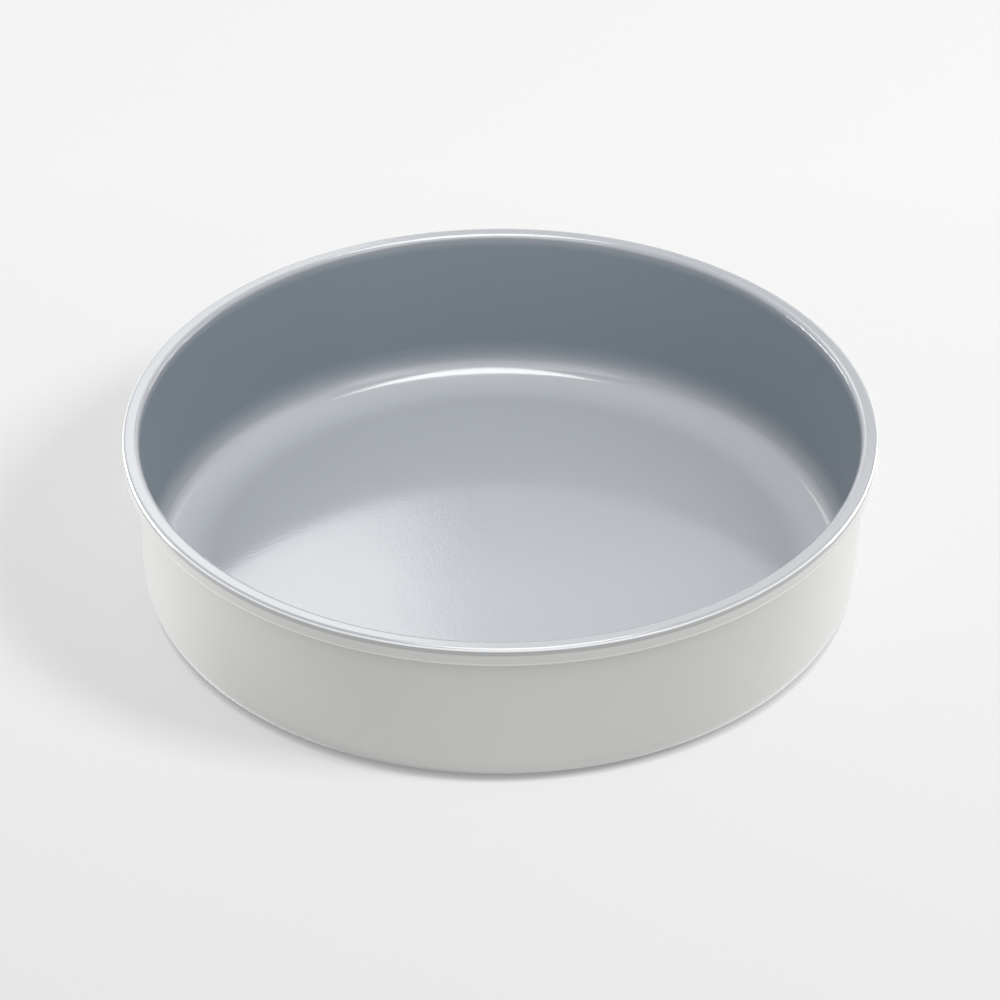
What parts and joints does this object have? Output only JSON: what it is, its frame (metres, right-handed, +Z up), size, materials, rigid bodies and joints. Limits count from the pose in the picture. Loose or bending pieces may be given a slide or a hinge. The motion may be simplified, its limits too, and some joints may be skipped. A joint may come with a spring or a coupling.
{
  "type": "round cake tin",
  "caption": "Round, straight-sided baking tin with a flat base, a smooth cove round the floor, and a rolled rim stiffened by a wire; grey non-stick coat inside, off-white coat outside.",
  "frame": {"origin": "centre of the flat underside, on the surface that the tin stands on", "axes": "+Z up along the tin's axis, out of its mouth; +X and +Y are any two radial directions, with the wire's butted ends at +Y"},
  "size_m": [0.2414, 0.2414, 0.0551],
  "materials": {
    "aluminised_steel": "satin, hidden under the two coats",
    "steel_wire": "plain drawn wire, hidden in the rim",
    "inner_ceramic": "semi-gloss blue-grey non-stick ceramic coat with a fine grain",
    "outer_ceramic": "gloss off-white ceramic coat"
  },
  "bodies": {
    "root": {"steel_shell": "aluminised_steel", "rim_wire": "steel_wire", "inner_coating": "inner_ceramic", "outer_coating": "outer_ceramic"}
  },
  "joints": []
}
